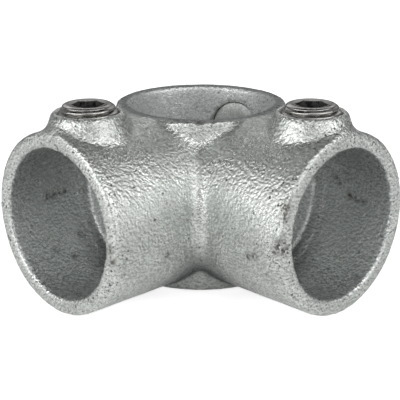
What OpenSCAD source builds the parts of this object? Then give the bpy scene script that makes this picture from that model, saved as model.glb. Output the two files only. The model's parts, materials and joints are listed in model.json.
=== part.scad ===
// Corner fitting for round tube: a cast body with an upright sleeve that the post passes through,
// two level sockets at a right angle for the rails, and a set screw in a boss on each of the three.
// Origin where the three tube axes cross, +Z up the sleeve, right socket along +X, left along -Y.

/* [Tube] */
// Outside diameter of the tube that the fitting takes
tube_d = 42.4; // [33.7:0.1:48.3]
// Play on the diameter between the tube and its bore
tube_play = 1.1; // [0.6:0.1:1.6]

/* [Sleeve] */
// Height of the upright sleeve, from rim to rim
sleeve_h = 51.9; // [50:0.1:60]
// Wall of the sleeve around its bore
sleeve_wall = 4.25; // [4:0.05:6]

/* [Sockets] */
// Distance from the sleeve's axis to the mouth of each socket
socket_reach = 57.3; // [55:0.1:64]
// Depth of each socket's bore, from the mouth to the ledge that stops the rail
socket_depth = 25.8; // [23:0.1:27]
// Wall of each socket at its mouth
socket_wall = 4.75; // [4.5:0.05:6]
// Draft of each socket: radius lost between its mouth and the sleeve's axis
socket_draft = 0.25; // [0:0.05:1]
// Width of the ledge that stops the rail
ledge_w = 0.85; // [0.5:0.05:1.5]
// Length of the cored relief behind the ledge
relief_l = 3.4; // [2:0.1:4]

/* [Casting edges] */
// Rounding of the outer edge of each mouth and rim
edge_r = 1; // [0.5:0.1:1.6]
// Chamfer at the inner edge of each mouth and rim
bore_chamfer = 0.4; // [0.2:0.1:0.8]
// Fillet in the inner corner between the two sockets
corner_fillet = 3.5; // [2.5:0.1:5]
// Fillet where each socket meets the sleeve
sleeve_fillet = 2.2; // [1.6:0.1:3]

/* [Bosses] */
// Diameter of the boss around each set screw, at its top
boss_d = 20.4; // [19:0.1:22]
// Draft of the boss's flank, in degrees
boss_draft = 18; // [8:1:22]
// Length of the tapped hole, from the bore's wall to the top of the boss
tapped_l = 8.95; // [8.5:0.05:12]
// Rounding of the top edge of each boss
boss_edge_r = 1.8; // [1:0.1:2]
// Fillet around the foot of each boss
boss_fillet = 3.5; // [2:0.1:4]
// Widening of the tapped hole at the top of the boss, on the radius
hole_countersink = 0.8; // [0.4:0.1:1]
// Distance from each mouth or rim to the axis of its set screw
screw_setback = 13.3; // [13:0.1:16]
// Direction of the sleeve's own set screw, around the sleeve from the right socket
sleeve_screw_turn = 105; // [95:1:175]

/* [Set screws] */
// Diameter over the screw's thread
screw_d = 16.66; // [14:0.01:17]
// Running clearance around the screw, on the radius
screw_fit = 0.06; // [0.03:0.01:0.1]
// How far the screw stands out of its boss
screw_proud = 2; // [0:0.1:3]
// How far the screw's point is backed off from the bore's wall
point_backoff = 0.3; // [0.1:0.1:1]
// Chamfer at both ends of the thread
screw_chamfer = 0.85; // [0.5:0.05:1.2]
// Key socket, across its flats
key_flats = 8; // [6:0.5:9]
// Depth of the key socket
key_depth = 6; // [4:0.1:6.5]
// Diameter of the cup in the screw's point
cup_d = 9; // [6:0.5:10]
// Depth of the cup
cup_depth = 1.8; // [1:0.1:2]

/* [Hidden] */
$fn = 96;
zinc = [0.74, 0.75, 0.74];
dark_steel = [0.30, 0.31, 0.33];

// Bores and walls
bore_r = (tube_d + tube_play) / 2;
sleeve_r = bore_r + sleeve_wall;
socket_r = bore_r + socket_wall;
rim_z = sleeve_h / 2;
ledge_x = socket_reach - socket_depth;
relief_end_x = ledge_x - relief_l;
relief_r = bore_r - ledge_w;
overrun = 1;

// Radius of a socket's outside at a distance x from the sleeve's axis
draft_slope = socket_draft / socket_reach;
root_r = socket_r - socket_draft;
function socket_r_at(x) = root_r + draft_slope * x;

// A socket narrows where it starts inside the sleeve, to stay under the sleeve's round back
neck_l = 8;
neck_taper = 1.5;

// Set screws and their bosses, measured out from the tube's axis
boss_top = bore_r + tapped_l;
foot_cover = 0.5;
boss_foot = bore_r + foot_cover;
flank = tan(boss_draft);
function boss_r_at(z) = boss_d / 2 + flank * (boss_top - z);
hole_r = screw_d / 2 + screw_fit;
hole_start = bore_r / 2;
screw_top = boss_top + screw_proud;
screw_tip = bore_r + point_backoff;
screw_l = screw_top - screw_tip;
key_r = key_flats / 2 / cos(30);
key_lead = 0.6;

// Fillets: steps along an arc, how deep their roots reach into the metal, and how far their
// edges sink below the surfaces that they run out on
arc_steps = 5;
fillet_root = 2;
fillet_sink = 0.12;
boss_steps = 40;
run_step = 4;
valley_start = 26;
valley_end = 40;

function unit(v) = v / norm(v);

// Direction a share t of the way round from direction a to direction b
function between(a, b, t) =
    let (w = acos(a * b)) (sin((1 - t) * w) * a + sin(t * w) * b) / sin(w);

// Section of a fillet: a ball of radius r at c touches one surface towards a, the other towards b
function fillet_section(c, a, b, r) = concat(
    [c + (r * norm(a + b) / (1 + a * b) + fillet_root) * unit(a + b)],
    [c + (r + fillet_sink) * a],
    [for (i = [1 : arc_steps - 1]) c + r * between(a, b, i / arc_steps)],
    [c + (r + fillet_sink) * b]);

// Quarter circle of radius r about a centre, from one angle to the other
function quarter(centre, r, from, to) =
    [for (i = [0 : arc_steps]) let (w = from + (to - from) * i / arc_steps)
        centre + r * [cos(w), sin(w)]];

// Solid through a row of sections with as many points each; a ring closes on its first section
module sections_solid(sections, ring = false) {
    n = len(sections[0]);
    m = len(sections);
    spans = ring ? m : m - 1;
    sides = [for (i = [0 : spans - 1], j = [0 : n - 1])
        let (k = (i + 1) % m, l = (j + 1) % n)
        each [[i * n + j, i * n + l, k * n + l], [i * n + j, k * n + l, k * n + j]]];
    caps = ring ? [] : [[for (j = [n - 1 : -1 : 0]) j], [for (j = [0 : n - 1]) (m - 1) * n + j]];
    polyhedron([for (s = sections, p = s) p], concat(sides, caps));
}

// Places a copy of the right socket's features on the left socket too
module on_left_socket() {
    mirror([1, 1, 0]) children();
}

module on_both_sockets() {
    children();
    on_left_socket() children();
}

// Frame of a set screw: X along its tube to the mouth, Z out along the screw
module on_sleeve_screw_side() {
    rotate([0, 0, sleeve_screw_turn + 180]) rotate([0, -90, 0]) children();
}

module sleeve_blank() {
    rotate_extrude() polygon(concat(
        [[0, -rim_z]],
        quarter([sleeve_r - edge_r, -rim_z + edge_r], edge_r, -90, 0),
        quarter([sleeve_r - edge_r, rim_z - edge_r], edge_r, 0, 90),
        [[0, rim_z]]));
}

module socket_blank() {
    rotate([0, 90, 0]) rotate_extrude() polygon(concat(
        [[0, 0], [root_r - neck_taper, 0], [socket_r_at(neck_l), neck_l]],
        quarter([socket_r - edge_r, socket_reach - edge_r], edge_r, 0, 90),
        [[0, socket_reach]]));
}

// Boss on a tube that ends at x = mouth
module boss_blank(mouth) {
    edge_z = boss_top - boss_edge_r;
    intersection() {
        translate([mouth - screw_setback, 0, 0]) rotate_extrude() polygon(concat(
            [[0, 0], [boss_r_at(boss_foot), 0], [boss_r_at(boss_foot), boss_foot]],
            quarter([boss_r_at(edge_z) - boss_edge_r / cos(boss_draft), edge_z], boss_edge_r,
                boss_draft, 90),
            [[0, boss_top]]));
        translate([0, -boss_d, 0]) cube([mouth - edge_r, 2 * boss_d, 2 * boss_top]);
    }
}

// Fillet around the foot of a boss; the tube's radius is wall_r at the boss's axis and grows by
// slope towards the mouth
module boss_fillet_blank(mouth, wall_r, slope) {
    out = boss_r_at(0) + boss_fillet / cos(boss_draft);
    sections = [for (i = [0 : boss_steps - 1])
        let (w = -360 * i / boss_steps,
            side = sin(w) * sin(w),
            square = 1 + flank * flank * side,
            ball_r = wall_r + slope * boss_d / 2 * cos(w) + boss_fillet,
            z = (out * flank * side + sqrt(square * ball_r * ball_r - out * out * side)) / square,
            reach = out - flank * z,
            y = reach * sin(w))
        fillet_section([mouth - screw_setback + reach * cos(w), y, z],
            -[cos(boss_draft) * cos(w), cos(boss_draft) * sin(w), sin(boss_draft)],
            [0, -y, -z] / ball_r, boss_fillet)];
    intersection() {
        sections_solid(sections, ring = true);
        translate([0, -boss_d, 0]) cube([mouth - edge_r - fillet_sink, 2 * boss_d, 2 * boss_top]);
    }
}

// Fillet in the inner corner, where the two sockets cross over the line x = -y
module corner_fillet_blank() {
    reach = root_r + corner_fillet;
    top_w = acos((sleeve_r - fillet_root) * sqrt(0.5) / reach);
    sections_solid([for (i = [-1 : 2 / ceil(2 * top_w / run_step) : 1])
        let (w = i * top_w,
            x = reach * cos(w) / (1 - draft_slope * cos(w)),
            ball_r = socket_r_at(x) + corner_fillet,
            z = ball_r * sin(w))
        fillet_section([x, -x, z], [0, x, -z] / ball_r, [-x, 0, -z] / ball_r, corner_fillet)]);
}

// Fillet between the sleeve and the upper half of the right socket, on the side that faces +Y
// (back = 1) or the other socket (back = -1)
module sleeve_fillet_blank(back) {
    from = back > 0 ? valley_start : valley_end;
    to = asin(min(1, (rim_z - edge_r) / socket_r_at(sleeve_r)));
    steps = ceil((to - from) / run_step);
    reach = sleeve_r + sleeve_fillet;
    foot = root_r + sleeve_fillet;
    sections = [for (i = [0 : steps])
        let (w = from + (to - from) * i / steps,
            c = cos(w),
            lean = draft_slope * c * c,
            square = 1 + draft_slope * lean,
            x = (sqrt(pow(foot * lean, 2) + square * (reach * reach - pow(c * foot, 2))) - foot * lean)
                / square,
            ball_r = socket_r_at(x) + sleeve_fillet,
            y = ball_r * c,
            z = ball_r * sin(w))
        fillet_section([x, y, z], [-x, -y, 0] / reach, [0, -y, -z] / ball_r, sleeve_fillet)];
    mirror([0, back > 0 ? 0 : 1, 0]) intersection() {
        sections_solid(sections);
        cube([socket_reach, 2 * socket_r, rim_z - edge_r - fillet_sink]);
    }
}

// The casting before its bores: sleeve, sockets and bosses, then the fillets between them
module casting_blank() {
    sleeve_blank();
    on_both_sockets() socket_blank();
    on_both_sockets() boss_blank(socket_reach);
    on_sleeve_screw_side() boss_blank(rim_z);
    corner_fillet_blank();
    on_both_sockets()
        boss_fillet_blank(socket_reach, socket_r_at(socket_reach - screw_setback), draft_slope);
    on_sleeve_screw_side() boss_fillet_blank(rim_z, sleeve_r, 0);
    for (back = [-1, 1], under = [0, 1])
        mirror([0, 0, under]) on_both_sockets() sleeve_fillet_blank(back);
}

// Straight bore of radius r from z0 up to a mouth at z1, with its inner edge chamfered
module mouthed_bore(r, z0, z1) {
    translate([0, 0, z0]) cylinder(r = r, h = z1 - z0 + overrun);
    translate([0, 0, z1 - bore_chamfer])
        cylinder(r1 = r, r2 = r + bore_chamfer + overrun, h = bore_chamfer + overrun);
}

// Through bore of the sleeve, with each rim faced flat where the sockets would rise past it
module sleeve_bore() {
    for (under = [0, 1]) mirror([0, 0, under]) {
        mouthed_bore(bore_r, 0, rim_z);
        translate([0, 0, rim_z]) cylinder(r = sleeve_r, h = socket_wall);
    }
}

module socket_bore() {
    rotate([0, 90, 0]) {
        mouthed_bore(bore_r, ledge_x, socket_reach);
        translate([0, 0, relief_end_x]) cylinder(r = relief_r, h = relief_l + overrun);
    }
}

// Tapped hole through the wall under the boss, widened at the top of the boss
module tapped_hole(mouth) {
    translate([mouth - screw_setback, 0, hole_start])
        cylinder(r = hole_r, h = boss_top - hole_start + overrun);
    translate([mouth - screw_setback, 0, boss_top - hole_countersink])
        cylinder(r1 = hole_r, r2 = hole_r + hole_countersink + overrun, h = hole_countersink + overrun);
}

module fitting_body() {
    color(zinc) difference() {
        casting_blank();
        sleeve_bore();
        on_both_sockets() {
            socket_bore();
            tapped_hole(socket_reach);
        }
        on_sleeve_screw_side() tapped_hole(rim_z);
    }
}

// Headless screw with a key socket in its top and a cup in its point, along Z out of the tube
module set_screw(mouth) {
    color(dark_steel) translate([mouth - screw_setback, 0, screw_tip]) difference() {
        rotate_extrude() polygon([
            [0, cup_depth],
            [cup_d / 2, 0],
            [screw_d / 2 - screw_chamfer, 0],
            [screw_d / 2, screw_chamfer],
            [screw_d / 2, screw_l - screw_chamfer],
            [screw_d / 2 - screw_chamfer, screw_l],
            [0, screw_l]]);
        translate([0, 0, screw_l - key_depth]) cylinder(r = key_r, h = key_depth + overrun, $fn = 6);
        translate([0, 0, screw_l - key_lead])
            cylinder(r1 = key_r - key_lead, r2 = key_r + key_lead, h = 2 * key_lead);
    }
}

module right_socket_screw() {
    set_screw(socket_reach);
}

module left_socket_screw() {
    on_left_socket() set_screw(socket_reach);
}

module sleeve_screw() {
    on_sleeve_screw_side() set_screw(rim_z);
}

fitting_body();
right_socket_screw();
left_socket_screw();
sleeve_screw();
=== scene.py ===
import json
import math

import bpy
import numpy as np
from mathutils import Matrix, Vector


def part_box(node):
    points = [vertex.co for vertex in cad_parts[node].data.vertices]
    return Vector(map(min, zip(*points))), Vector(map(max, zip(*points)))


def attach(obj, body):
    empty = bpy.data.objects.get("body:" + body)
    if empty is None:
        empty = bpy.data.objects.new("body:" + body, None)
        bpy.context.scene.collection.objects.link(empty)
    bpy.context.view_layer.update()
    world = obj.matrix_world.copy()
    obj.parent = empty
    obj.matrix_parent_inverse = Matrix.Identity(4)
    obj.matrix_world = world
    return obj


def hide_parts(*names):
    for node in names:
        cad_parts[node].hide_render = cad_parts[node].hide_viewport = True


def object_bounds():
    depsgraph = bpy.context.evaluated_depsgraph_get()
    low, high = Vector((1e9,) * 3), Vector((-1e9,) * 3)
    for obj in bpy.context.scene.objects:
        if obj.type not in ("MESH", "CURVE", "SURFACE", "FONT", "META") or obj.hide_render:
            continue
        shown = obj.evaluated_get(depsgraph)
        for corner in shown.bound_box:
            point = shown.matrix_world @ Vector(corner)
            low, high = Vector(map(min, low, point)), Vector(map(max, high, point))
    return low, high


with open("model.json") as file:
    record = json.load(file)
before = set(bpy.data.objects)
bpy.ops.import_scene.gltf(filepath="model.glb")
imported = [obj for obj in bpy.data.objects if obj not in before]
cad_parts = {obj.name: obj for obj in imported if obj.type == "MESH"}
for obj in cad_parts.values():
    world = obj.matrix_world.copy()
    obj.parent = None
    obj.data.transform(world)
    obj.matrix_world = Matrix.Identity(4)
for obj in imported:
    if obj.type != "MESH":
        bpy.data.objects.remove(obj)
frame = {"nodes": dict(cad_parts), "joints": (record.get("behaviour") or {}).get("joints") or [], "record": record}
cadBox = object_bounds()
mm = 0.001
mergeReach = 0.0005 * mm
print("frame loaded")


# Sizes and places taken from the frame
mounts = {m["name"]: m for m in frame["record"]["mounts"]}
joints = {j["child"]: j for j in frame["joints"]}
bodyLow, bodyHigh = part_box("fitting_body")
boreRadius = mounts["sleeve_bore"]["dims"]["r_mm"] * mm
socketReach = bodyHigh.x
boreChamfer = 0.4 * mm
rimHeight = mounts["sleeve_bore"]["dims"]["length_mm"] / 2 * mm + boreChamfer
screwLow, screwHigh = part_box("right_socket_screw")
screwRadius = (screwHigh.x - screwLow.x) / 2
screwLength = screwHigh.z - screwLow.z
screwNodes = {
    "right_screw": "right_socket_screw",
    "left_screw": "left_socket_screw",
    "rear_screw": "sleeve_screw",
}


def screwPlace(body):
    low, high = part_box(screwNodes[body])
    outward = -Vector(joints[body]["axis"]).normalized()
    return (low + high) / 2, outward


# Camera and light, fitted to the photograph's view
view = {
    "cameraPlace": Vector((242.8, -237.2, 105.1)) * mm,
    "lookAt": Vector((-0.28, -0.28, -5.75)) * mm,
    "roll": math.radians(-0.18),
    "lens": 102.2,
    "sensor": 36,
    "nearest": 10 * mm,    # nothing closer than this is drawn
    "frameSize": 400,      # the photograph's width and height
    "ambient": 0.02,       # what lights the part from all round
    "floorSize": 6.0,
    "floorShade": 0.85,
    "floorRough": 0.9,
    "floorFill": 0.16,     # light that the floor gives the part
    "floorGlow": 0.80,     # seen by the camera alone, so the floor reads as white paper
}


def makeCamera():
    data = bpy.data.cameras.new("photo_camera")
    camera = bpy.data.objects.new("photo_camera", data)
    bpy.context.scene.collection.objects.link(camera)
    data.lens = view["lens"]
    data.sensor_width = view["sensor"]
    data.clip_start = view["nearest"]
    toward = view["lookAt"] - view["cameraPlace"]
    turn = toward.to_track_quat("-Z", "Y").to_matrix() @ Matrix.Rotation(view["roll"], 3, "Z")
    camera.matrix_world = Matrix.Translation(view["cameraPlace"]) @ turn.to_4x4()
    bpy.context.scene.camera = camera
    return camera


def pixelRay(camera, pixel):
    half = view["frameSize"] / 2
    spread = view["sensor"] / view["lens"] / 2
    across = (pixel[0] - half) / half * spread
    upward = (half - pixel[1]) / half * spread
    return camera.matrix_world.to_3x3() @ Vector((across, upward, -1))


# Each panel faces the part: bearing from the camera's own direction, then height above the floor
softLights = {
    "leftBox": {"bearing": -55, "height": 21, "away": 0.8, "size": (1.00, 0.66), "power": 4.65},
    "rightBox": {"bearing": 54, "height": 31, "away": 0.8, "size": (0.96, 0.70), "power": 4.3},
    "frontBox": {"bearing": 0, "height": 62, "away": 0.8, "size": (0.60, 0.30), "power": 0.75},
    "backBox": {"bearing": 180, "height": 35, "away": 0.8, "size": (1.00, 0.50), "power": 1.1},
    "leftBack": {"bearing": -138, "height": 30, "away": 0.8, "size": (0.70, 0.60), "power": 0.3},
    "rightBack": {"bearing": 138, "height": 30, "away": 0.8, "size": (0.70, 0.60), "power": 0.25},
}


def makeLights(camera):
    world = bpy.data.worlds.new("studio")
    bpy.context.scene.world = world
    world.use_nodes = True
    background = world.node_tree.nodes["Background"]
    background.inputs["Color"].default_value = (1, 1, 1, 1)
    background.inputs["Strength"].default_value = view["ambient"]
    ahead = math.atan2(camera.location.y, camera.location.x)
    for name, light in softLights.items():
        data = bpy.data.lights.new(name, "AREA")
        data.shape = "RECTANGLE"
        data.size, data.size_y = light["size"]
        data.energy = light["power"]
        lamp = bpy.data.objects.new(name, data)
        bpy.context.scene.collection.objects.link(lamp)
        bearing = ahead + math.radians(light["bearing"])
        height = math.radians(light["height"])
        level = light["away"] * math.cos(height)
        place = Vector((level * math.cos(bearing), level * math.sin(bearing),
                        light["away"] * math.sin(height)))
        turn = (-place).to_track_quat("-Z", "Y").to_matrix().to_4x4()
        lamp.matrix_world = Matrix.Translation(place) @ turn
    bpy.context.scene.view_settings.view_transform = "Standard"


def makeFloor():
    onlySelect(None)
    bpy.ops.mesh.primitive_plane_add(size=view["floorSize"], location=(0, 0, cadBox[0].z))
    floor = bpy.context.object
    floor.name = "floor"
    bpy.ops.object.transform_apply(location=True, rotation=True, scale=True)
    paint, tree, shader = startMaterial("white_paper")
    shade = view["floorShade"]
    shader.inputs["Base Color"].default_value = (shade, shade, shade, 1)
    shader.inputs["Roughness"].default_value = view["floorRough"]
    shader.inputs["Emission Color"].default_value = (1, 1, 1, 1)
    path = newNode(tree, "ShaderNodeLightPath")
    glow = ramp(tree, path.outputs["Is Camera Ray"], 0.0, 1.0, view["floorFill"], view["floorGlow"])
    tree.links.new(glow, shader.inputs["Emission Strength"])
    floor.data.materials.append(paint)
    print("camera, lights and floor done")


# Selection, modifiers and meshes, as by hand
def onlySelect(piece):
    if bpy.context.object and bpy.context.object.mode != "OBJECT":
        bpy.ops.object.mode_set(mode="OBJECT")
    bpy.ops.object.select_all(action="DESELECT")
    if piece:
        piece.select_set(True)
        bpy.context.view_layer.objects.active = piece


def editAll(piece):
    onlySelect(piece)
    bpy.ops.object.mode_set(mode="EDIT")
    bpy.ops.mesh.select_mode(type="VERT")
    bpy.ops.mesh.select_all(action="SELECT")


def applyModifier(piece, kind, **settings):
    onlySelect(piece)
    modifier = piece.modifiers.new(kind.lower(), kind)
    for key, value in settings.items():
        setattr(modifier, key, value)
    bpy.ops.object.modifier_apply(modifier=modifier.name)


def weightGroup(piece, name, weights, least=0.002):
    group = piece.vertex_groups.new(name=name)
    for index in np.nonzero(weights > least)[0]:
        group.add([int(index)], float(weights[index]), "REPLACE")
    return name


def vertexPlaces(piece):
    places = np.empty(len(piece.data.vertices) * 3)
    piece.data.vertices.foreach_get("co", places)
    return places.reshape(-1, 3)


def setPlaces(piece, places):
    piece.data.vertices.foreach_set("co", places.ravel())
    piece.data.update()


def paintMask(piece, name, values):
    mask = piece.data.attributes.new(name, "FLOAT", "POINT")
    mask.data.foreach_set("value", values.astype(np.float32))


def lathe(name, outline, segments):
    onlySelect(None)
    bpy.ops.mesh.primitive_plane_add(size=mm)
    piece = bpy.context.object
    piece.name = name
    editAll(piece)
    bpy.ops.mesh.merge(type="CENTER")
    bpy.ops.transform.translate(value=(outline[0][0], 0, outline[0][1]))
    for (r0, z0), (r1, z1) in zip(outline, outline[1:]):
        bpy.ops.mesh.extrude_vertices_move(TRANSFORM_OT_translate={"value": (r1 - r0, 0, z1 - z0)})
    bpy.ops.mesh.select_all(action="SELECT")
    bpy.ops.mesh.spin(steps=segments, angle=2 * math.pi, center=(0, 0, 0), axis=(0, 0, 1))
    bpy.ops.mesh.select_all(action="SELECT")
    bpy.ops.mesh.remove_doubles(threshold=2 * mergeReach)
    bpy.ops.mesh.normals_make_consistent(inside=False)
    onlySelect(piece)
    return piece


# Shader nodes
def startMaterial(name):
    material = bpy.data.materials.new(name)
    material.use_nodes = True
    return material, material.node_tree, material.node_tree.nodes["Principled BSDF"]


def newNode(tree, kind, settings=None, values=None):
    node = tree.nodes.new(kind)
    for key, value in (settings or {}).items():
        setattr(node, key, value)
    for key, value in (values or {}).items():
        feed(tree, value, node.inputs[key])
    return node


def feed(tree, value, socket):
    if isinstance(value, bpy.types.NodeSocket):
        tree.links.new(value, socket)
    else:
        socket.default_value = value


def mathNode(tree, operation, *values):
    node = newNode(tree, "ShaderNodeMath", {"operation": operation})
    for value, socket in zip(values, node.inputs):
        feed(tree, value, socket)
    return node.outputs[0]


def ramp(tree, value, low, high, start=0.0, end=1.0):
    node = newNode(tree, "ShaderNodeMapRange", {"interpolation_type": "SMOOTHSTEP"},
                   {"Value": value, "From Min": low, "From Max": high, "To Min": start, "To Max": end})
    return node.outputs["Result"]


def mixColour(tree, share, first, second):
    node = newNode(tree, "ShaderNodeMix", {"data_type": "RGBA"})
    for value, place in ((share, 0), (first, 6), (second, 7)):
        feed(tree, value, node.inputs[place])
    return node.outputs[2]


def startGroup(name, inputs, outputs):
    group = bpy.data.node_groups.new(name, "ShaderNodeTree")
    for label in inputs:
        kind = "NodeSocketVector" if label == "Place" else "NodeSocketFloat"
        group.interface.new_socket(name=label, in_out="INPUT", socket_type=kind)
    for label in outputs:
        group.interface.new_socket(name=label, in_out="OUTPUT", socket_type="NodeSocketFloat")
    return group, group.nodes.new("NodeGroupInput").outputs, group.nodes.new("NodeGroupOutput").inputs


def useGroup(tree, group, values):
    return newNode(tree, "ShaderNodeGroup", {"node_tree": group}, values).outputs


pinSpeck = {
    "raggedFineness": 4.0,         # times the speck's own
    "raggedness": 0.5,
    "solidWithin": 0.33,
    "goneBeyond": 0.48,
}


def makePinSpecks():
    # small dark points, one in some of the cells
    group, given, result = startGroup("pinSpecks", ["Place", "Fineness", "Amount"], ["Mask"])
    cells = newNode(group, "ShaderNodeTexVoronoi", None,
                    {"Vector": given["Place"], "Scale": given["Fineness"]})
    chance = newNode(group, "ShaderNodeSeparateColor", None, {"Color": cells.outputs["Color"]})
    chosen = mathNode(group, "LESS_THAN", chance.outputs["Red"], given["Amount"])
    finer = mathNode(group, "MULTIPLY", given["Fineness"], pinSpeck["raggedFineness"])
    ragged = newNode(group, "ShaderNodeTexNoise", None, {"Vector": given["Place"], "Scale": finer})
    reach = mathNode(group, "MULTIPLY_ADD", ragged.outputs["Fac"], pinSpeck["raggedness"],
                     cells.outputs["Distance"])
    point = ramp(group, reach, pinSpeck["solidWithin"], pinSpeck["goneBeyond"], 1.0, 0.0)
    group.links.new(mathNode(group, "MULTIPLY", point, chosen), result["Mask"])
    return group


slowMottle = {
    "cloud": {"Detail": 3.0, "Roughness": 0.6, "Distortion": 0.4},
    "limits": (0.33, 0.67),
}


def makeSlowMottle():
    # cloudy change of shade
    group, given, result = startGroup("slowMottle", ["Place", "Fineness"], ["Shade"])
    cloud = newNode(group, "ShaderNodeTexNoise", None,
                    {"Vector": given["Place"], "Scale": given["Fineness"], **slowMottle["cloud"]})
    group.links.new(ramp(group, cloud.outputs["Fac"], *slowMottle["limits"]), result["Shade"])
    return group


pebbleForm = {
    "grain": {"Detail": 2.0, "Roughness": 0.55, "Distortion": 0.5},
    "scaleFineness": 0.7,          # the rounded scales are wider than the grain
    "scaleSmoothness": 0.5,
    "scaleHeight": 0.5,
}


def makePebble():
    # rounded scales of frozen zinc, as a height
    group, given, result = startGroup("pebble", ["Place", "Fineness"], ["Height"])
    grain = newNode(group, "ShaderNodeTexNoise", None,
                    {"Vector": given["Place"], "Scale": given["Fineness"], **pebbleForm["grain"]})
    wider = mathNode(group, "MULTIPLY", given["Fineness"], pebbleForm["scaleFineness"])
    scales = newNode(group, "ShaderNodeTexVoronoi", {"feature": "SMOOTH_F1"},
                     {"Vector": given["Place"], "Scale": wider, "Smoothness": pebbleForm["scaleSmoothness"]})
    cap = mathNode(group, "SUBTRACT", 1.0, scales.outputs["Distance"])
    height = mathNode(group, "MULTIPLY_ADD", cap, pebbleForm["scaleHeight"], grain.outputs["Fac"])
    group.links.new(height, result["Height"])
    return group


finishGroups = {
    "pinSpecks": makePinSpecks(),
    "slowMottle": makeSlowMottle(),
    "pebble": makePebble(),
}


def maskFrom(tree, name):
    return newNode(tree, "ShaderNodeAttribute", {"attribute_name": name}).outputs["Fac"]


# Galvanised finish of the casting
zinc = {
    "bright": (0.89, 0.918, 0.89, 1),
    "dull": (0.76, 0.787, 0.76, 1),
    "socketBore": (0.92, 0.95, 0.94, 1),
    "sleeveBore": (0.95, 0.97, 0.96, 1),
    # painted shade for the hollows, the lower sleeve and the sleeve bore's ends
    "paintedShade": (0.13, 0.137, 0.134, 1),
    # painted shade on the flat rims
    "rim": (0.35, 0.364, 0.36, 1),
    # dark of the specks, also the dark end of the painted relief shade and of the grain's valleys
    "speck": (0.08, 0.08, 0.08, 1),
    # brown of the stains, also used for the painted shade along the front of the sleeve's rim
    "stainAndShade": (0.075, 0.066, 0.053, 1),
    "mottleFineness": 95.0,        # cloud cells in a metre
    "speckFineness": 540.0,
    "speckAmount": 0.12,           # share of the cells that hold a speck
    "wornSpecks": 0.85,            # and how many more on the worn mouths
    "fineSpecks": 900.0,           # the mouths have a finer kind too
    "pebbleFineness": 1380.0,
    "grainFineness": 2600.0,
    "leeStep": (0.06 * mm, -0.06 * mm, -0.16 * mm),
    "leeShade": 0.52,              # painted shade: how far the lee side of each pebble is darker
    "leeLimits": (0.10, -0.10),    # slopes where that starts and ends
    "grainShade": 0.10,            # how far the valleys of the fine grain are darker
    "grainLimits": (0.95, 0.60),   # heights where that starts and ends
    "boreShade": 0.12,             # both are darker by this in the sockets' bores
    "stainLimits": (0.60, 0.82),   # stains and the rim's painted shade show on what is higher than this
    "stainRough": 0.3,
    "grainHeight": 0.4,            # the grain's part in the bump, beside the pebbles'
    "speckDepth": -0.5,
    "bumpDistance": 0.22 * mm,
    "metallic": 0.80,
    "sleeveMetallic": 0.45,        # the sleeve's bore is duller
    "smoothest": 0.25,
    "roughest": 0.30,
}


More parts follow.
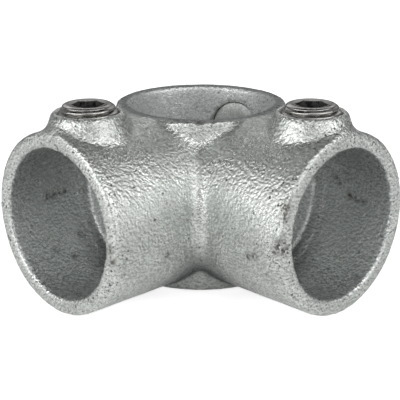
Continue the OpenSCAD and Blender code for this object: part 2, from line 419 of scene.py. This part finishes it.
def zincSkin():
    material, tree, shader = startMaterial("galvanised_zinc")
    place = newNode(tree, "ShaderNodeTexCoord").outputs["Object"]
    # the sockets' bores, with painted light and shade that changes from top to bottom
    bore = maskFrom(tree, "boreAndPaintedLightMask")
    sleeve = maskFrom(tree, "sleeveMask")
    worn = maskFrom(tree, "wornMask")
    amount = mathNode(tree, "MULTIPLY_ADD", worn, zinc["wornSpecks"], zinc["speckAmount"])
    mottle = useGroup(tree, finishGroups["slowMottle"],
                      {"Place": place, "Fineness": zinc["mottleFineness"]})["Shade"]
    specks = useGroup(tree, finishGroups["pinSpecks"],
                      {"Place": place, "Fineness": zinc["speckFineness"], "Amount": amount})["Mask"]
    fine = useGroup(tree, finishGroups["pinSpecks"],
                    {"Place": place, "Fineness": zinc["fineSpecks"], "Amount": worn})["Mask"]
    specks = mathNode(tree, "MAXIMUM", specks, fine)
    pebble = useGroup(tree, finishGroups["pebble"],
                      {"Place": place, "Fineness": zinc["pebbleFineness"]})["Height"]
    grain = useGroup(tree, finishGroups["pebble"],
                     {"Place": place, "Fineness": zinc["grainFineness"]})["Height"]
    # painted relief shade: the pebble's height a small step away, so the side that falls away is painted darker
    lee = newNode(tree, "ShaderNodeVectorMath", {"operation": "ADD"}, {0: place, 1: zinc["leeStep"]})
    beside = useGroup(tree, finishGroups["pebble"],
                      {"Place": lee.outputs["Vector"], "Fineness": zinc["pebbleFineness"]})["Height"]
    slope = mathNode(tree, "SUBTRACT", pebble, beside)
    blotch = ramp(tree, pebble, *zinc["stainLimits"])
    stainedAndShaded = mathNode(tree, "MULTIPLY", maskFrom(tree, "stainAndShadeMask"), blotch)
    colour = mixColour(tree, mottle, zinc["dull"], zinc["bright"])
    colour = mixColour(tree, bore, colour, zinc["socketBore"])
    colour = mixColour(tree, sleeve, colour, zinc["sleeveBore"])
    # painted shade in the hollows, on the lower sleeve and on the sleeve bore's ends
    colour = mixColour(tree, maskFrom(tree, "paintedShadeMask"), colour, zinc["paintedShade"])
    # painted shade on the flat rims
    colour = mixColour(tree, maskFrom(tree, "rimMask"), colour, zinc["rim"])
    # painted shade on the lee side of each pebble, and the grain's valleys darker
    for height, kind in ((slope, "lee"), (grain, "grain")):
        depth = mathNode(tree, "MULTIPLY_ADD", bore, zinc["boreShade"], zinc[kind + "Shade"])
        shade = mathNode(tree, "MULTIPLY", ramp(tree, height, *zinc[kind + "Limits"]), depth)
        colour = mixColour(tree, shade, colour, zinc["speck"])
    colour = mixColour(tree, specks, colour, zinc["speck"])
    colour = mixColour(tree, stainedAndShaded, colour, zinc["stainAndShade"])
    rough = ramp(tree, mottle, 0.0, 1.0, zinc["roughest"], zinc["smoothest"])
    rough = mathNode(tree, "MULTIPLY_ADD", stainedAndShaded, zinc["stainRough"], rough)
    metal = ramp(tree, sleeve, 0.0, 1.0, zinc["metallic"], zinc["sleeveMetallic"])
    height = mathNode(tree, "MULTIPLY_ADD", grain, zinc["grainHeight"], pebble)
    height = mathNode(tree, "MULTIPLY_ADD", specks, zinc["speckDepth"], height)
    bump = newNode(tree, "ShaderNodeBump", None,
                   {"Height": height, "Strength": 1.0, "Distance": zinc["bumpDistance"]})
    tree.links.new(colour, shader.inputs["Base Color"])
    tree.links.new(rough, shader.inputs["Roughness"])
    tree.links.new(metal, shader.inputs["Metallic"])
    tree.links.new(bump.outputs["Normal"], shader.inputs["Normal"])
    return material


# Dark steel of the set screws
steel = {
    "dark": (0.30, 0.296, 0.286, 1),
    "worn": (0.54, 0.53, 0.51, 1),
    "point": (0.60, 0.615, 0.60, 1),
    "pointGrain": 7.0,             # the point is coarser than the rest by this factor
    # painted shade inside the key socket
    "key": (0.08, 0.08, 0.078, 1),
    "speck": (0.05, 0.05, 0.05, 1),
    "mottleFineness": 420.0,
    "speckFineness": 900.0,
    "speckAmount": 0.12,
    "grainFineness": 2600.0,
    "bumpDistance": 0.03 * mm,
    "wornLimits": (0.0, 0.8, 0.55, 1.0),   # how the mottle thins the wear on the ridges
    "smoothest": 0.20,
    "roughest": 0.36,
    "pointMetallic": 0.4,
}


def gunmetal():
    material, tree, shader = startMaterial("gunmetal")
    place = newNode(tree, "ShaderNodeTexCoord").outputs["Object"]
    mottle = useGroup(tree, finishGroups["slowMottle"],
                      {"Place": place, "Fineness": steel["mottleFineness"]})["Shade"]
    specks = useGroup(tree, finishGroups["pinSpecks"],
                      {"Place": place, "Fineness": steel["speckFineness"],
                       "Amount": steel["speckAmount"]})["Mask"]
    grain = useGroup(tree, finishGroups["pebble"],
                     {"Place": place, "Fineness": steel["grainFineness"]})["Height"]
    crest = maskFrom(tree, "crestMask")
    worn = mathNode(tree, "MULTIPLY", crest, ramp(tree, mottle, *steel["wornLimits"]))
    colour = mixColour(tree, worn, steel["dark"], steel["worn"])
    colour = mixColour(tree, specks, colour, steel["speck"])
    # painted shade on the key socket's walls
    colour = mixColour(tree, maskFrom(tree, "keyShadeMask"), colour, steel["key"])
    point = maskFrom(tree, "pointMask")
    colour = mixColour(tree, point, colour, steel["point"])
    rough = ramp(tree, mottle, 0.0, 1.0, steel["roughest"], steel["smoothest"])
    height = mathNode(tree, "MULTIPLY", grain, ramp(tree, point, 0.0, 1.0, 1.0, steel["pointGrain"]))
    bump = newNode(tree, "ShaderNodeBump", None,
                   {"Height": height, "Strength": 1.0, "Distance": steel["bumpDistance"]})
    tree.links.new(colour, shader.inputs["Base Color"])
    tree.links.new(rough, shader.inputs["Roughness"])
    tree.links.new(bump.outputs["Normal"], shader.inputs["Normal"])
    tree.links.new(ramp(tree, point, 0.0, 1.0, 1.0, steel["pointMetallic"]), shader.inputs["Metallic"])
    return material


# Casting: a fine skin over the CAD body, with the unevenness of a galvanised sand casting
castingSkin = {
    "voxel": 0.71 * mm,
    "relaxPasses": 3,
    "relaxShare": 0.5,
    "boreSkin": 0.4 * mm,         # a bore's wall lies within this of its radius
    "holeEase": 0.12 * mm,        # the tapped holes open this much round the threads
    "holeCore": 0.5,              # share of the screw's radius where no hole wall lies
    "holeReach": 1.2 * mm,        # and how far out of it the wall reaches
    "swell": (11 * mm, 0.22 * mm, 0.5),     # slow waviness of the cast wall: size, depth, middle
    "pebble": (1.5 * mm, 0.16 * mm, 0.5),   # orange peel of the zinc
    "lip": (1.4 * mm, 0.7 * mm, 0.5),       # ragged inner edge of each mouth
    "leadIn": (7 * mm, -0.35 * mm, 0.0),    # the top of the sleeve's bore opens a little
    "lipReach": 0.7 * mm,
    "leadInReach": 3.2 * mm,
    "socketStart": 28 * mm,       # the sockets' bores lie beyond this from the sleeve's axis
    "wornReach": 5 * mm,          # specks thicken this near the mouths
    "rimSkin": 0.3 * mm,          # the flat rims get painted shade within this
    "rimReach": 25.4 * mm,
    "partingWidth": 0.55 * mm,    # seam of the mould halves
    "partingDepth": 0.16 * mm,
    "hollowStart": 26.1 * mm,     # painted shade in the hollows under the sockets
    "hollowEdge": 1.2 * mm,
    "hollowReach": 42 * mm,
    "hollowTop": 6 * mm,
    "hollowFade": 13 * mm,
    "paintedShadeOnSleeve": 0.32,       # the painted shade's share on the sleeve itself
    "boreEndStart": 12 * mm,      # and painted shade on the bore's two ends, as seen from the front
    "boreEndShadeShare": 0.22,
    "boreRingDepth": 6.5 * mm,    # faint ring inside each mouth, and the core's seam
    "boreRingWidth": 0.5 * mm,
    "boreRingHeight": 0.12 * mm,
    "borePaintedLight": (0.5, -0.45),     # painted light and shade in the sockets' bores: the bore colour's share at its middle, and its change up to its top
    "pitStain": 0.8,
}

# Blemishes of the cast skin, and painted shade along the front of the sleeve's rim, seen at these pixels of the
# photograph
castMarks = {
    "pits": [((200, 122), 1.6 * mm), ((81, 234), 0.9 * mm), ((74, 255), 1.1 * mm),
             ((56, 250), 0.8 * mm), ((336, 178), 0.8 * mm), ((339, 184), 0.8 * mm)],
    "pitDepth": 0.8 * mm,
    "stainsAndShade": [((286, 208), 1.5 * mm), ((284, 217), 1.6 * mm), ((289, 198), 1.0 * mm),
               ((278, 246), 2.0 * mm), ((285, 251), 1.6 * mm), ((275, 252), 1.2 * mm),
               ((254, 256), 1.2 * mm), ((248, 257), 1.0 * mm), ((167, 255), 1.1 * mm),
               ((283, 238), 1.0 * mm), ((110, 250), 1.4 * mm), ((112, 262), 1.2 * mm),
               # these four are painted shade along the front of the sleeve's rim
               ((171, 119), 0.8 * mm), ((178, 120), 0.8 * mm), ((186, 121), 0.7 * mm), ((214, 122), 0.7 * mm),
               ((47, 196), 1.3 * mm), ((53, 195), 1.2 * mm), ((59, 193), 1.2 * mm), ((65, 191), 1.1 * mm),
               ((350, 196), 1.2 * mm), ((357, 199), 1.2 * mm), ((364, 201), 1.1 * mm)],
}


def noiseTexture(name, size, depth=1):
    texture = bpy.data.textures.new(name, "CLOUDS")
    texture.noise_scale = size
    texture.noise_depth = depth
    texture.noise_basis = "ORIGINAL_PERLIN"
    return texture


def openHoles(skin):
    # widens each tapped hole from its axis, so the thread stands clear of the cast wall
    places = vertexPlaces(skin)
    for body in screwNodes:
        centre, outward = screwPlace(body)
        away = places - np.array(centre)
        along = away @ np.array(outward)
        side = away - np.outer(along, np.array(outward))
        radius = np.linalg.norm(side, axis=1)
        wall = (radius > castingSkin["holeCore"] * screwRadius) & (np.abs(along) < screwLength)
        wall &= radius < screwRadius + castingSkin["holeReach"]
        places[wall] += side[wall] / radius[wall, None] * castingSkin["holeEase"]
    setPlaces(skin, places)


def bell(distance, width):
    return np.exp(-(distance / width) ** 2)


def nearMarks(skin, camera, places, marks):
    # how close each vertex lies to the marks, from 0 to 1
    share = np.zeros(len(places))
    for pixel, size in marks:
        ray = pixelRay(camera, pixel)
        found, spot, _, _ = skin.ray_cast(camera.location, ray)
        if found:
            share = np.maximum(share, bell(np.linalg.norm(places - np.array(spot), axis=1), size))
    return share


def paintedShadeShare(x, y, z, inSleeve):
    # painted shade in the hollows between the sleeve and the sockets, on the lower sleeve, and on the bore's two
    # ends as seen from the front
    fromAxis = np.hypot(x, y)
    fade = castingSkin["hollowFade"]
    nearSleeve = np.clip((castingSkin["hollowReach"] - fromAxis) / fade, 0, 1)
    offSleeve = np.clip((fromAxis - castingSkin["hollowStart"]) / castingSkin["hollowEdge"], 0, 1)
    onSleeve = castingSkin["paintedShadeOnSleeve"] * (fromAxis > boreRadius + castingSkin["hollowEdge"])
    below = np.clip((-z - castingSkin["hollowTop"]) / fade, 0, 1)
    shadedHollows = nearSleeve * np.maximum(offSleeve, onSleeve) * below
    start = castingSkin["boreEndStart"]
    shadedBoreEnds = np.clip((np.abs(x + y) / math.sqrt(2) - start) / (boreRadius - start), 0, 1)
    return np.maximum(shadedHollows, castingSkin["boreEndShadeShare"] * shadedBoreEnds * inSleeve)


def makeCasting(camera):
    skin = bpy.data.objects.new("casting", frame["nodes"]["fitting_body"].data.copy())
    bpy.context.scene.collection.objects.link(skin)
    skin.data.materials.clear()
    editAll(skin)
    bpy.ops.mesh.remove_doubles(threshold=mergeReach)
    onlySelect(skin)
    openHoles(skin)
    applyModifier(skin, "REMESH", mode="VOXEL", voxel_size=castingSkin["voxel"], use_smooth_shade=True)
    applyModifier(skin, "SMOOTH", factor=castingSkin["relaxShare"], iterations=castingSkin["relaxPasses"])
    print("casting remeshed:", len(skin.data.polygons), "faces")

    places = vertexPlaces(skin)
    x, y, z = places.T
    skinDepth = boreRadius + castingSkin["boreSkin"]
    inRight = (np.hypot(y, z) < skinDepth) & (x > castingSkin["socketStart"])
    inLeft = (np.hypot(x, z) < skinDepth) & (y < -castingSkin["socketStart"])
    inSleeve = np.hypot(x, y) < skinDepth
    inSocket = inRight | inLeft
    outside = 1.0 - (inSocket | inSleeve)
    fromMouth = np.minimum(socketReach - x, socketReach + y)
    boreRing = bell(fromMouth - castingSkin["boreRingDepth"], castingSkin["boreRingWidth"])
    coreSeam = bell(z, castingSkin["boreRingWidth"])
    seam = bell(z, castingSkin["partingWidth"]) * outside
    shadedRim = bell(np.abs(z) - rimHeight, castingSkin["rimSkin"]) * (np.hypot(x, y) < castingSkin["rimReach"])
    leadIn = np.clip((z - rimHeight) / castingSkin["leadInReach"] + 1, 0, 1) ** 2 * inSleeve
    worn = bell(np.maximum(fromMouth, 0), castingSkin["wornReach"]) * outside
    offAxis = np.where(x > -y, np.hypot(y, z), np.hypot(x, z))
    lip = bell(fromMouth, castingSkin["lipReach"]) * bell(offAxis - boreRadius, castingSkin["lipReach"])
    pits = nearMarks(skin, camera, places, castMarks["pits"])
    stainsAndShade = nearMarks(skin, camera, places, castMarks["stainsAndShade"])
    reliefs = [
        ("seam", seam, castingSkin["partingDepth"]),
        ("boreRing", np.maximum(boreRing, coreSeam) * inSocket, castingSkin["boreRingHeight"]),
        ("pits", pits, -castMarks["pitDepth"]),
    ]
    for name, weights in (("swell", None), ("pebble", None), ("lip", lip), ("leadIn", leadIn)):
        size, depth, middle = castingSkin[name]
        applyModifier(skin, "DISPLACE", texture=noiseTexture(name, size), texture_coords="LOCAL",
                      strength=depth, mid_level=middle,
                      vertex_group="" if weights is None else weightGroup(skin, name, weights))
    for name, weights, height in reliefs:
        applyModifier(skin, "DISPLACE", strength=height, mid_level=0.0,
                      vertex_group=weightGroup(skin, name, weights))
    middle, change = castingSkin["borePaintedLight"]
    # painted light and shade: the share changes from the top of each bore to its bottom
    paintMask(skin, "boreAndPaintedLightMask", inSocket * np.clip(middle + change * z / boreRadius, 0, 1))
    paintMask(skin, "sleeveMask", inSleeve)
    paintMask(skin, "rimMask", shadedRim * outside)
    paintMask(skin, "wornMask", worn)
    paintMask(skin, "paintedShadeMask", paintedShadeShare(x, y, z, inSleeve))
    paintMask(skin, "stainAndShadeMask", np.maximum(stainsAndShade, castingSkin["pitStain"] * pits))
    skin.data.materials.append(zincSkin())
    onlySelect(skin)
    bpy.ops.object.shade_smooth()
    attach(skin, "casting")
    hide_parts("fitting_body")
    print("casting done")


# Set screws: threaded, with a rounded rim, a dished top and a key socket
setScrew = {
    "pitch": 1.337 * mm,
    "threadDepth": 0.80 * mm,
    "segments": 96,               # a multiple of six, so the key socket's corners are true
    "turnRings": 14,              # rings of vertices in each turn of the thread
    "rimRadius": 5.9 * mm,        # crest of the rounded top ring
    "headRadius": 7.8 * mm,       # the ring's own outer radius
    "rimDrop": 1.7 * mm,          # how far the ring rounds down to the thread
    "headStep": 0.5 * mm,
    "rimRounds": 30,
    "runOut": (0.3 * mm, 1.9 * mm),   # the thread deepens between these depths below the top
    "firstCut": 0.30,             # share of the depth where it starts
    "ridgeFullness": 0.40,        # below 1 the ridges are broad and the grooves are narrow
    "dishLip": (0.30 * mm, 0.03 * mm),
    "dishSlope": 0.15,
    "keyFlats": 8 * mm,
    "keyDepth": 6 * mm,
    "keyEdge": 0.22 * mm,
    "drillDepth": 0.8 * mm,
    "cupRadius": 4.5 * mm,
    "cupDepth": 1.6 * mm,
    "pointChamfer": 0.25 * mm,
    "pointReach": 0.3 * mm,       # the bare end of the point
    "margin": 0.1 * mm,           # between one part of the outline and the next
    "touch": 0.01 * mm,
    "bareWear": 0.05,             # wear off the thread
    "smoothBelow": 38,            # degrees between faces that shade as one
    "grooveDrop": 0.62 * mm,      # the first groove lies this far below the top, at its facing angle
    "facing": {"right_screw": -50, "left_screw": -38.5, "rear_screw": 0},
    "keyTurn": {"right_screw": -22, "left_screw": -7, "rear_screw": 10},
}


def screwOutline():
    s = setScrew
    top = screwLength
    shoulder = top - s["rimDrop"]
    corner = s["keyFlats"] / math.sqrt(3)
    step = s["pitch"] / s["turnRings"]
    outline = [(0, s["cupDepth"]), (s["cupRadius"], 0)]
    for i in range(int(shoulder / step)):
        stepIn = (screwRadius - s["headRadius"]) * max(0, 1 - (shoulder - i * step) / s["headStep"])
        outline.append((screwRadius - max(0, s["pointChamfer"] - i * step) - stepIn, i * step))
    for i in range(s["rimRounds"] + 1):
        w = math.radians(90 * i / s["rimRounds"])
        outline.append((s["rimRadius"] + (s["headRadius"] - s["rimRadius"]) * math.cos(w),
                        shoulder + s["rimDrop"] * math.sin(w)))
    inner = s["rimRadius"] - s["dishLip"][0]
    dishTop = top - s["dishLip"][1]
    keyTop = dishTop - (inner - corner) * s["dishSlope"]
    outline += [(inner, dishTop), (corner + s["keyEdge"], keyTop + s["keyEdge"] * s["dishSlope"]),
                (corner, keyTop - s["keyEdge"]), (corner, top - s["keyDepth"]),
                (0, top - s["keyDepth"] - s["drillDepth"])]
    return outline


def cutThreadAndKey(screw, body):
    # the thread winds round the blank, and the round socket becomes six-sided
    s = setScrew
    places = vertexPlaces(screw)
    x, y, z = places.T
    radius = np.hypot(x, y)
    angle = np.arctan2(y, x)
    root = s["rimRadius"] + s["margin"]
    front = math.radians(s["facing"][body] - s["keyTurn"][body])
    groove = (z - screwLength + s["grooveDrop"]) / s["pitch"] - (angle - front) / (2 * math.pi)
    crest = (0.5 - 0.5 * np.cos(2 * math.pi * groove)) ** s["ridgeFullness"]
    full = np.clip((screwLength - z - s["runOut"][0]) / (s["runOut"][1] - s["runOut"][0]), 0, 1)
    cut = s["threadDepth"] * (s["firstCut"] + (1 - s["firstCut"]) * full)
    cut = cut * np.minimum(1, (screwLength - z) / s["runOut"][0])
    threaded = radius - cut * (1 - crest)
    corner = s["keyFlats"] / math.sqrt(3)
    keyFloor = screwLength - s["keyDepth"] - s["drillDepth"]
    inKey = (radius < corner + s["keyEdge"] + s["touch"]) & (z > keyFloor - s["touch"])
    fromFlat = np.mod(angle, math.pi / 3) - math.pi / 6
    sixSided = radius * math.cos(math.pi / 6) / np.cos(fromFlat)
    newRadius = np.where(inKey, sixSided, np.where(radius > root, threaded, radius))
    edge = inKey & (z > screwLength - s["keyDepth"] / 2)
    lowered = z - np.where(edge, (radius - newRadius) * s["dishSlope"], 0)
    setPlaces(screw, np.stack([newRadius * np.cos(angle), newRadius * np.sin(angle), lowered], 1))
    inCup = (radius < s["cupRadius"] + s["margin"]) & (z < s["cupDepth"] + s["touch"])
    paintMask(screw, "crestMask", np.where(radius > root, crest ** 2, s["bareWear"]))
    paintMask(screw, "keyShadeMask", inKey & (radius < corner + s["touch"]))
    paintMask(screw, "pointMask", inCup | (z < s["pointReach"]))


def makeScrews():
    model = lathe("screw_model", screwOutline(), setScrew["segments"])
    model.data.materials.append(gunmetal())
    for body, node in screwNodes.items():
        centre, outward = screwPlace(body)
        screw = bpy.data.objects.new(node.replace("_screw", "_set_screw"), model.data.copy())
        bpy.context.scene.collection.objects.link(screw)
        cutThreadAndKey(screw, body)
        onlySelect(screw)
        bpy.ops.object.shade_smooth_by_angle(angle=math.radians(setScrew["smoothBelow"]))
        turn = Matrix.Rotation(math.radians(setScrew["keyTurn"][body]), 4, "Z")
        stand = outward.to_track_quat("Z", "Y").to_matrix().to_4x4()
        sink = Matrix.Translation((0, 0, -screwLength / 2))
        screw.data.transform(Matrix.Translation(centre) @ stand @ turn @ sink)
        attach(screw, body)
        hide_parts(node)
    bpy.data.objects.remove(model)
    print("screws done")


photoCamera = makeCamera()
makeLights(photoCamera)
makeFloor()
makeCasting(photoCamera)
makeScrews()
